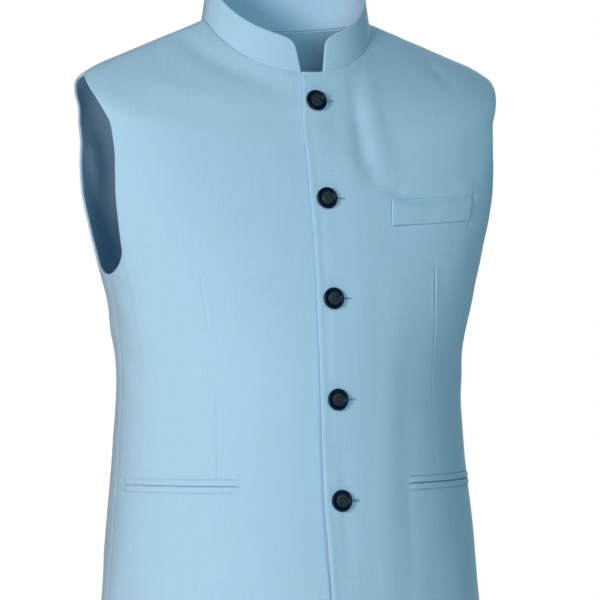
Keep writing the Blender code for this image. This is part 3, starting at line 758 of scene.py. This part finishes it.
def seam_relief(surface, gaps, run, side, is_front):
    """Darts, pocket slits, puckers beside the seams and slight unevenness, all in metres."""
    total = UNEVEN_RISE * unevenness(surface, 11 if is_front else 12)
    for name, rise, reach, length in PUCKERS:
        if name in gaps:
            wave = wander(run, 20 + len(name) + 3 * side + is_front, length)
            total += rise * wave * bell(gaps[name], reach)
    for name, depth, reach in SEAM_DIPS:
        if name in gaps:
            total -= depth * bell(gaps[name], reach)
    if not is_front:
        return total
    if side < 0:
        index, distance, _ = near_line(surface, under_dip_line(), 0.012)
        total[index] -= UNDER_DIP_DEPTH * bell(distance, UNDER_DIP_WIDTH)
    line = dart_lines[side > 0]
    index, distance, along = near_line(surface, line, 0.012)
    depth = np.interp(along, *zip(*DART_DEPTHS[side > 0])) * np.clip(20.0 * along, 0.0, 1.0)
    total[index] -= depth * bell(distance, DART_HALF_WIDTH)
    total[index] += 0.4 * depth * bell(distance - 0.0028, 0.0022)
    total -= DART_END_DIMPLE * bell(np.linalg.norm(surface - line[0], axis=-1), 0.006)
    first, last = HIP_POCKET_ANGLES[side]
    angles = side * np.linspace(first + 0.6, last - 0.6, 25)
    jet_seam = JET_SLIT / 2 + JET_WIDTH + 0.0003
    for height, depth in ((0.0, SLIT_DEPTH), (jet_seam, JET_SEAM_DEPTH), (-jet_seam, JET_SEAM_DEPTH)):
        line = bare_points(angles, station_at_height(angles, np.full(25, HIP_POCKET_Z + height)))
        index, distance, _ = near_line(surface, line, 0.004)
        total[index] -= depth * np.exp(-(distance / 0.0010)**4)
    return total


# ---- The band collar ----
def collar_base(angle, inward):
    """Points on the neckline, moved towards the neck."""
    angle = (np.asarray(angle, float) + 180.0) % 360.0 - 180.0
    zero = np.zeros_like(angle)
    lift = np.where((angle > 0) & (angle < 90.0), lap_lift_at(np.abs(angle), zero), 0.0)
    along = bare_points(angle + 0.5, 0.0) - bare_points(angle - 0.5, 0.0)
    outward = unit(np.stack([along[..., 1], -along[..., 0], zero], -1))
    return cloth_points(angle, zero, lift) - outward * np.asarray(inward)[..., None]


def build_collar():
    """The band, from its right end round the neck to its left end."""
    angles = np.linspace(COLLAR_RIGHT_ANGLE, COLLAR_LEFT_ANGLE - 360.0, 1441)
    run = run_along(collar_base(angles, 0.0))
    length = run[-1]
    corner_reach, full = COLLAR_CORNER[-1]
    columns = length * edged_shares(int(length / 0.0022), length)
    column, up, index = flat_grid(columns, edged_shares(16, full))
    from_end = np.minimum(column, length - column)
    height = collar_table(np.minimum(from_end, corner_reach))[..., 0]
    spread = COLLAR_END_SPREAD * (1.0 - smooth_step(from_end / COLLAR_SPREAD_REACH))
    spread = np.where(column < length / 2, spread, -spread)
    angle = np.interp(column + spread * up, run, angles)
    lean = COLLAR_LEAN * up * height / full
    middle = collar_base(angle, lean + COLLAR_WALL / 2)
    middle[:, 2] += (height + 0.0008) * up - 0.0008
    out = unit(collar_base(angle, lean) - collar_base(angle, lean + COLLAR_WALL))
    rim, part, gaps = rounded_edges(middle, grid_edges(index, COLLAR_EDGES))
    half = COLLAR_WALL / 2 * part
    uv = np.stack([column, height * up], -1)
    return shell_object("band_collar", middle, out, half, half, grid_quads(index)[:, ::-1], rim, gaps, uv)


# ---- Pockets ----
def welt_sink(across, up):
    """The chest welt's folded top lies almost flush, but for a small gape at its inner end."""
    top = smooth_step((up - 0.62) / 0.38)
    ends = smooth_step(1.0 - np.minimum(across, 1.0 - across) / 0.03)
    return 0.0020 * top * (1.0 - bell(across, 0.16)) + 0.0003 * ends * (1.0 - top)


def jet_sink(across, up):
    """A jet lies flat and its ends go down into the cloth."""
    return 0.0006 + 0.0007 * (1.0 - smooth_step(np.minimum(across, 1.0 - across) / 0.05))


def build_patch(name, side, angles, top, height, thickness, reaches, sink):
    """A strip sewn on a front, with the heights of its top at its inner and outer ends.

    Its edges are rounded over their own reaches: bottom, top, inner end and outer end.
    """
    width = 0.2 * math.radians(angles[1] - angles[0])
    steps = [step for step in EDGE_STEPS if step < 0.4 * height]
    across, up, index = flat_grid(edged_shares(max(4, int(width / 0.0018)), width, steps),
                                  edged_shares(max(4, int(height / 0.0012)), height, steps))
    angle = angles[0] + (angles[1] - angles[0]) * across
    station = station_at_height(angle, top[0] + (top[1] - top[0]) * across - height * (1.0 - up))
    surface = bare_points(side * angle, station)
    normals = surface_normals(side * angle, station)
    rim, part, gaps = rounded_edges(surface, grid_edges(index, reaches))
    middle = PATCH_LIFT + thickness / 2 + fold_relief(surface) + UNEVEN_RISE * unevenness(surface, 11)
    middle -= sink(across, up)
    if side > 0:
        middle += lap_lift_at(angle, station)
    half = thickness / 2 * part
    uv = np.stack([across * width, up * height], -1)
    return shell_object(name, surface + normals * middle[:, None], normals, half, half,
                        grid_quads(index)[:, ::side], rim, gaps, uv)


def build_pockets():
    made = {"chest_welt": build_patch("welt_chest", 1, CHEST_WELT_ANGLES, CHEST_WELT_TOP,
                                      CHEST_WELT_HEIGHT, WELT_THICKNESS, WELT_EDGES, welt_sink)}
    near, far = 0.9 * JET_SLIT, JET_SLIT / 2 + JET_WIDTH
    for side, word in SIDES:
        for row, top in (("upper", HIP_POCKET_Z + far), ("lower", HIP_POCKET_Z - near)):
            made[f"hip_jet_{row}_{word}"] = build_patch(
                f"jet_{row}_{word}", side, HIP_POCKET_ANGLES[side], (top, top), far - near,
                0.7 * JET_THICKNESS, JET_EDGES, jet_sink)
    return made


# ---- Sewing ----
def stitches(name, starts, ends, up, radius, arch, steps, material, slot="cloth"):
    """Bent, round-ended threads from starts to ends, bowed out along up."""
    up = unit(up)
    across = unit(np.cross(unit(ends - starts), up))[:, None, None]
    t = np.linspace(0.0, 1.0, steps + 1)[:, None]
    thick = radius * np.maximum(1.0 - np.abs(2.0 * t - 1.0)**4, 0.04)**0.5
    turn = (2 * math.pi * np.arange(THREAD_SIDES) / THREAD_SIDES)[:, None]
    centre = starts[:, None] + (ends - starts)[:, None] * t + up[:, None] * arch * np.sin(math.pi * t)
    ring = across * np.cos(turn) + up[:, None, None] * np.sin(turn)
    points = centre[:, :, None] + ring * thick[:, None]
    index = np.arange(points[..., 0].size).reshape(points.shape[:-1])
    a, b = index[:, :-1], index[:, 1:]
    quads = np.stack([a, np.roll(a, -1, 2), np.roll(b, -1, 2), b], -1).reshape(-1, 4)
    caps = np.concatenate([index[:, 0, ::-1], index[:, -1]])
    obj = add_mesh(name, points.reshape(-1, 3), quads.tolist() + caps.tolist())
    dress(obj, material=material)


def stitched_line(angles, stations, lifts, pitch, length):
    """Starts, ends and directions out of the cloth of even stitches along a line on it."""
    points = cloth_points(angles, stations, lifts)
    normals = surface_normals(angles, stations)
    run = run_along(points)
    first = np.arange(pitch / 2, run[-1] - pitch, pitch)
    return [np.stack([np.interp(at, run, column) for column in table.T], -1)
            for at, table in ((first, points), (first + length, points), (first, normals))]


def build_sewing(thread):
    """Small stitches in from the front edge and at the ends of the chest welt."""
    stations = np.linspace(-0.687, -0.002, 400)
    lap = lap_table(stations)[..., 0]
    angles = -np.degrees((lap - STITCH_INSET) / section_at(stations).half_width)
    lifts = lap_lift(-LAP_SHARE * (lap - STITCH_INSET) / lap, stations)
    line = stitched_line(angles, stations, lifts, STITCH_PITCH, STITCH_LENGTH)
    stitches("stitches_front_edge", *line, STITCH_RADIUS, 0.00010, 4, thread)
    first, last = CHEST_WELT_ANGLES
    rows = []
    for top, angle in zip(CHEST_WELT_TOP, (first + 0.35, last - 0.35)):
        z = np.linspace(top - 0.001, top - CHEST_WELT_HEIGHT + 0.001, 30)
        angles = np.full(30, angle)
        stations = station_at_height(angles, z)
        sink = welt_sink((angles - first) / (last - first), 1.0 - (top - z) / CHEST_WELT_HEIGHT)
        lifts = PATCH_LIFT + WELT_THICKNESS + lap_lift_at(angles, stations) - sink - 0.0001
        rows.append(stitched_line(angles, stations, lifts, 0.0030, 0.0020))
    both = [np.concatenate(pair) for pair in zip(*rows)]
    stitches("stitches_chest_welt", *both, STITCH_RADIUS, 0.00010, 4, thread)


# ---- Buttons and buttonholes ----
def button_places():
    """Stations of the buttons, evenly spaced along the cloth, as in the CAD."""
    stations = np.linspace(*station_at_height(0.0, [TOP_BUTTON_Z, LAST_BUTTON_Z]), 201)
    run = run_along(bare_points(0.0, stations))
    return np.interp(np.linspace(0.0, run[-1], BUTTONS), run, stations)


def button_mesh(materials):
    """A turned button with a rounded rim, a dished middle and four thread holes."""
    work = bmesh.new()
    turns = 2 * math.pi * np.arange(BUTTON_TURNS) / BUTTON_TURNS
    rings = [[work.verts.new((radius * math.cos(turn), radius * math.sin(turn), height))
              for turn in (turns if radius else turns[:1])] for radius, height in BUTTON_PROFILE]
    for lower, upper in zip(rings, rings[1:]):
        for i in range(BUTTON_TURNS):
            corners = [lower[i % len(lower)], lower[(i + 1) % len(lower)],
                       upper[(i + 1) % len(upper)], upper[i % len(upper)]]
            work.faces.new(list(dict.fromkeys(corners)))
    bmesh.ops.recalc_face_normals(work, faces=work.faces)
    blank = add_object("button_blank", mesh_from(work, "button_turned"))
    work = bmesh.new()
    half = BUTTON_HOLE_SPACING / 2
    for x, y in ((-half, -half), (-half, half), (half, -half), (half, half)):
        peg = bmesh.ops.create_cone(work, cap_ends=True, segments=24, radius1=THREAD_HOLE_RADIUS,
                                    radius2=THREAD_HOLE_RADIUS * 1.25, depth=0.02)
        bmesh.ops.translate(work, verts=peg["verts"], vec=(x, y, 0.0))
    pegs = add_object("pegs", mesh_from(work, "pegs"))
    cut = blank.modifiers.new("holes", "BOOLEAN")
    cut.operation = "DIFFERENCE"
    cut.solver = "EXACT"
    cut.object = pegs
    holed = bpy.data.meshes.new_from_object(blank.evaluated_get(bpy.context.evaluated_depsgraph_get()))
    for extra in (blank, pegs):
        bpy.data.objects.remove(extra, do_unlink=True)
    holed.materials.clear()
    holed.shade_smooth()
    holed.set_sharp_from_angle(angle=math.radians(55))
    for material in materials:
        holed.materials.append(material)
    for face in holed.polygons:
        x, y, z = face.center
        # the middle's faces take the second, paler finish: partly the button's own tone, partly a painted
        # highlight on its dish
        face.material_index = int(math.hypot(x, y) < BUTTON_MIDDLE_RADIUS and z > 0.001)
    return holed


def build_buttons(materials, thread):
    """Buttons, the thread through their holes and the wound shanks below them."""
    mesh = button_mesh(materials)
    half = BUTTON_HOLE_SPACING / 2
    dice = np.random.default_rng(5)
    for i, station in enumerate(button_places()):
        place = cloth_points(0.0, station, lap_lift(0.0, station) + BUTTON_STANDOFF)
        normal = surface_normals(0.0, station)
        turn = Vector(normal).to_track_quat("Z", "Y")
        node = f"button_{i + 1}"
        button = add_object("turned_" + node, mesh.copy())
        button.location = place
        button.rotation_mode = "QUATERNION"
        button.rotation_quaternion = turn
        dress(button, node)
        starts, ends = [], []
        for x in (-half, half):
            for strand in (-STRAND_GAP, 0.0, STRAND_GAP):
                stray = x + strand + dice.uniform(-STITCH_STRAY, STITCH_STRAY, 2)
                starts.append((stray[0], -half - 0.0002, 0.0021))
                ends.append((stray[1], half + 0.0002, 0.0021))
        for angle in np.linspace(0.0, 2 * math.pi, 9)[:-1]:
            for row, turned, z in ((starts, angle, -0.0008), (ends, angle + 1.2, 0.0002)):
                row.append((SHANK_RADIUS * math.cos(turned), SHANK_RADIUS * math.sin(turned), z))
        starts, ends = (np.array(local) @ np.array(turn.to_matrix()).T + place for local in (starts, ends))
        up = np.tile(normal, (len(starts), 1))
        stitches(f"thread_{node}", starts, ends, up, 0.00027, 0.00055, 8, thread, "button")


def build_buttonholes(thread, shade):
    """A worked buttonhole from under each button towards the wearer's left."""
    row = np.linspace(HOLE_START, HOLE_END, 34)
    bar = np.linspace(-HOLE_BAR, HOLE_BAR, 6)
    for i, station in enumerate(button_places()):
        per_metre = math.degrees(1.0 / float(section_at(station).half_width))

        def on_cloth(x, up, rise, past=0.0):
            """Points past x along the cloth from centre front, up from the hole and off the cloth."""
            lift = lap_lift(x * per_metre / FRONT_CORNER, station)
            return cloth_points((x + past) * per_metre, station + up, lift + rise)

        dice = np.random.default_rng(40 + i)
        parts = []
        for sign in (-1, 1):
            stray = dice.uniform(-STITCH_STRAY, STITCH_STRAY, 34)
            parts.append((on_cloth(row, sign * HOLE_LIP, 0.0001),
                          on_cloth(row, sign * (HOLE_STITCH + stray), -0.0001, stray),
                          surface_normals(row * per_metre, station)))
        parts.append((on_cloth(HOLE_END, bar, 0.0, 0.0002), on_cloth(HOLE_END, bar, 0.0, HOLE_BAR),
                      surface_normals(HOLE_END * per_metre, np.full(6, station))))
        threads = [np.concatenate(rows) for rows in zip(*parts)]
        stitches(f"buttonhole_{i + 1}", *threads, 0.00024, 0.00022, 5, thread)
        # a dark thread along the slit, a painted shadow of the opening
        slit = [on_cloth(HOLE_START, 0.0, 0.0)[None], on_cloth(HOLE_END, 0.0, 0.0, 0.0001)[None],
                surface_normals(0.0, station)[None]]
        stitches(f"buttonhole_slit_shadow_{i + 1}", *slit, 0.00034, 0.0, 10, shade)


# ---- Materials ----
class Nodes:
    """Short calls for adding shader nodes to one material or world."""

    def __init__(self, owner):
        owner.use_nodes = True
        self.owner = owner
        self.tree = owner.node_tree

    def put(self, node, inputs):
        """Set each input to a number or a colour, or join it to another node's output."""
        for key, value in inputs.items():
            if isinstance(value, bpy.types.NodeSocket):
                self.tree.links.new(value, node.inputs[key])
            else:
                node.inputs[key].default_value = value

    def add(self, kind, inputs=None, **settings):
        node = self.tree.nodes.new("ShaderNode" + kind)
        for key, value in settings.items():
            setattr(node, key, value)
        self.put(node, inputs or {})
        return node

    def product(self, first, *others):
        for other in others:
            first = self.add("Math", {0: first, 1: other}, operation="MULTIPLY").outputs[0]
        return first

    def sine(self, value, pitch):
        """A wave of that pitch in metres."""
        turned = self.product(value, 2 * math.pi / pitch)
        return self.add("Math", {0: turned}, operation="SINE").outputs[0]

    def noise(self, vector, scale, detail=2.0, stretch=(1.0, 1.0, 1.0)):
        """Noise from 0 to 1, finer along an axis with a larger stretch."""
        vector = self.add("Mapping", {"Scale": stretch, "Vector": vector}).outputs["Vector"]
        return self.add("TexNoise", {"Scale": scale, "Detail": detail, "Vector": vector}).outputs["Fac"]

    def scaled(self, value, low, high, from_low=0.25, from_high=0.75):
        limits = {"From Min": from_low, "From Max": from_high, "To Min": low, "To Max": high}
        return self.add("MapRange", {"Value": value, **limits}).outputs["Result"]

    def bumps(self, *layers):
        """A normal from layers of height and depth in metres."""
        before = {}
        for height, distance in layers:
            node = self.add("Bump", {"Distance": distance, "Height": height, **before})
            before = {"Normal": node.outputs["Normal"]}
        return before["Normal"]

    def finish(self, colour, shade, **inputs):
        """The colour times a shade near 1, and the shader's other inputs, with _ for a space."""
        tint = self.add("VectorMath", {0: colour, "Scale": shade}, operation="SCALE").outputs["Vector"]
        inputs = {key.replace("_", " "): value for key, value in inputs.items()}
        self.put(self.tree.nodes["Principled BSDF"], {"Base Color": tint, **inputs})
        return self.owner


def new_material(name):
    """A new material's nodes, and a point's place on its object, in metres."""
    kit = Nodes(bpy.data.materials.new(name))
    return kit, kit.add("TexCoord").outputs["Object"]


def cloth_material(name, colour):
    """Matt two-and-two weave with uneven yarns; a little paler along pressed edges as a painted sheen, and
    smoother there.
    """
    kit, place = new_material(name)
    uv = kit.add("UVMap", uv_map="weave").outputs["UV"]
    weft, warp, _ = kit.add("SeparateXYZ", {0: uv}).outputs
    ridges = kit.product(kit.sine(weft, YARN_PITCH), kit.sine(warp, YARN_PITCH))
    checks = kit.product(kit.sine(weft, BASKET_PITCH), kit.sine(warp, BASKET_PITCH))
    warp_streaks = kit.noise(uv, 1.0, 3.0, (620.0, 14.0, 1.0))
    weft_streaks = kit.noise(uv, 1.0, 3.0, (16.0, 560.0, 1.0))
    mottle = kit.noise(place, 9.0, 3.0)
    fuzz = kit.noise(place, 1400.0)
    edge = kit.add("Attribute", attribute_name="edge_gap").outputs["Fac"]
    shade = kit.product(
        kit.scaled(warp_streaks, 0.975, 1.025),
        kit.scaled(weft_streaks, 0.981, 1.019),
        kit.scaled(mottle, 0.985, 1.015),
        kit.scaled(checks, 0.985, 1.015, -1.0, 1.0),
        kit.scaled(fuzz, 0.98, 1.02),
        # painted sheen: the colour is 1.5% paler at an edge, fading out by 2.2 mm in
        kit.scaled(edge, 1.015, 1.0, 0.0004, 0.0022))
    rough = kit.product(kit.scaled(warp_streaks, 0.74, 0.86),
                        kit.scaled(edge, 0.92, 1.0, 0.0004, 0.0022))
    normal = kit.bumps((warp_streaks, 0.00006), (weft_streaks, 0.00005),
                       (checks, 0.00003), (ridges, 0.00004))
    return kit.finish(colour, shade, Roughness=rough, Normal=normal, Specular_IOR_Level=0.25,
                      Sheen_Weight=0.10, Sheen_Roughness=0.50)


def thread_material(name, colour, sheen):
    """Twisted thread."""
    kit, place = new_material(name)
    wave = kit.add("TexWave", {"Scale": 1400.0, "Distortion": 0.6, "Vector": place},
                   wave_type="BANDS", bands_direction="DIAGONAL").outputs["Fac"]
    return kit.finish(colour, kit.scaled(wave, 0.86, 1.10, 0.0, 1.0), Normal=kit.bumps((wave, 0.00006)),
                      Roughness=0.55, Sheen_Weight=sheen)


def button_material(name, colour, roughness, coat, specular):
    """Dark resin with faint clouding, scuffs and fine turning lines."""
    kit, place = new_material(name)
    cloud = kit.noise(place, 260.0, 4.0)
    scuffs = kit.noise(place, 2600.0)
    rings = kit.add("TexWave", {"Scale": 1100.0, "Vector": place},
                    wave_type="RINGS", rings_direction="Z").outputs["Fac"]
    shade = kit.product(kit.scaled(cloud, 0.70, 1.45, 0.3, 0.7), kit.scaled(scuffs, 0.9, 1.12, 0.3, 0.7))
    rough = kit.scaled(scuffs, roughness - 0.05, roughness + 0.10, 0.3, 0.7)
    normal = kit.bumps((rings, 0.00001), (cloud, 0.00004))
    return kit.finish(colour, shade, Roughness=rough, Normal=normal, Coat_Weight=coat, Coat_Roughness=0.18,
                      Specular_IOR_Level=specular, Specular_Tint=(0.40, 0.72, 1.0, 1.0))


def floor_material():
    kit, place = new_material("floor")
    shade = kit.scaled(kit.noise(place, 1.5, 3.0), 0.985, 1.015, 0.3, 0.7)
    return kit.finish(FLOOR_COLOUR, shade, Roughness=0.9)


# ---- Light, floor and camera ----
def aim(obj, place, target):
    obj.location = place
    obj.rotation_euler = (target - place).to_track_quat("-Z", "Y").to_euler()


def build_studio():
    """A white surround that lights evenly, a soft warm key from the camera's left, a pale floor."""
    scene = bpy.context.scene
    scene.view_settings.view_transform = "Standard"
    scene.world = bpy.data.worlds.new("studio")
    kit = Nodes(scene.world)
    lighting = kit.tree.nodes["Background"]
    kit.put(lighting, {"Color": AMBIENT_COLOUR, "Strength": AMBIENT})
    seen = kit.add("Background", {"Color": (1.0, 1.0, 1.0, 1.0)})
    ray = kit.add("LightPath").outputs["Is Camera Ray"]
    mix = kit.add("MixShader", {0: ray, 1: lighting.outputs[0], 2: seen.outputs[0]})
    kit.put(kit.tree.nodes["World Output"], {"Surface": mix.outputs[0]})
    target = Vector((0.0, 0.0, -0.30))
    for name, turn, rise, size, power, colour in LIGHTS:
        turn, rise = math.radians(turn), math.radians(rise)
        away = Vector((math.sin(turn) * math.cos(rise), -math.cos(turn) * math.cos(rise), math.sin(rise)))
        light = bpy.data.lights.new(name, "AREA")
        light.shape = "DISK"
        light.size = size
        light.energy = power
        light.color = colour
        aim(add_object(name, light), target + LIGHT_DISTANCE * away, target)
    work = bmesh.new()
    bmesh.ops.create_circle(work, cap_ends=True, segments=96, radius=FLOOR_RADIUS)
    floor = add_object("floor", mesh_from(work, "floor"))
    floor.location = (0.0, 0.0, FLOOR_Z)
    floor.data.materials.append(floor_material())


def build_camera():
    """From the photo's angle, slightly above the middle of the seen part."""
    yaw = math.radians(CAMERA_YAW)
    right = Vector((math.cos(yaw), -math.sin(yaw), 0.0))
    ahead = Vector((math.sin(yaw), math.cos(yaw), 0.0))
    data = bpy.data.cameras.new("camera")
    data.lens = 288.0
    data.sensor_width = 36.0
    data.dof.use_dof = False
    camera = add_object("camera", data)
    place = -CAMERA_DISTANCE * ahead + CAMERA_SHIFT * right + Vector((0.0, 0.0, -0.20))
    aim(camera, place, CAMERA_SHIFT * right + Vector((0.0, 0.0, -0.29)))
    bpy.context.scene.camera = camera


build_camera()
build_studio()
cloth = cloth_material("cloth", CLOTH_COLOUR)
thread = thread_material("thread", THREAD_COLOUR, 0.2)
# painted shadow for the buttonhole slits
hole_shade = thread_material("buttonhole_shade", HOLE_SHADOW_COLOUR, 0.0)
dark_thread = thread_material("button_thread", DARK_THREAD_COLOUR, 0.3)
rim_resin = button_material("button_rim", BUTTON_COLOUR, 0.38, 0.02, 0.20)
# paler middle finish: partly the button's own tone, partly a painted highlight on its dish
middle_tone_and_highlight = button_material("button_middle", BUTTON_MIDDLE_COLOUR, 0.30, 0.12, 0.40)
made = {}
for side, word in SIDES:
    made["front_" + word] = build_panel("cloth_front_" + word, side, True)
    made["back_" + word] = build_panel("cloth_back_" + word, side, False)
made["collar"] = build_collar()
made.update(build_pockets())
for node, piece in made.items():
    dress(piece, node, cloth)
build_sewing(thread)
build_buttonholes(thread, hole_shade)
build_buttons((rim_resin, middle_tone_and_highlight), dark_thread)
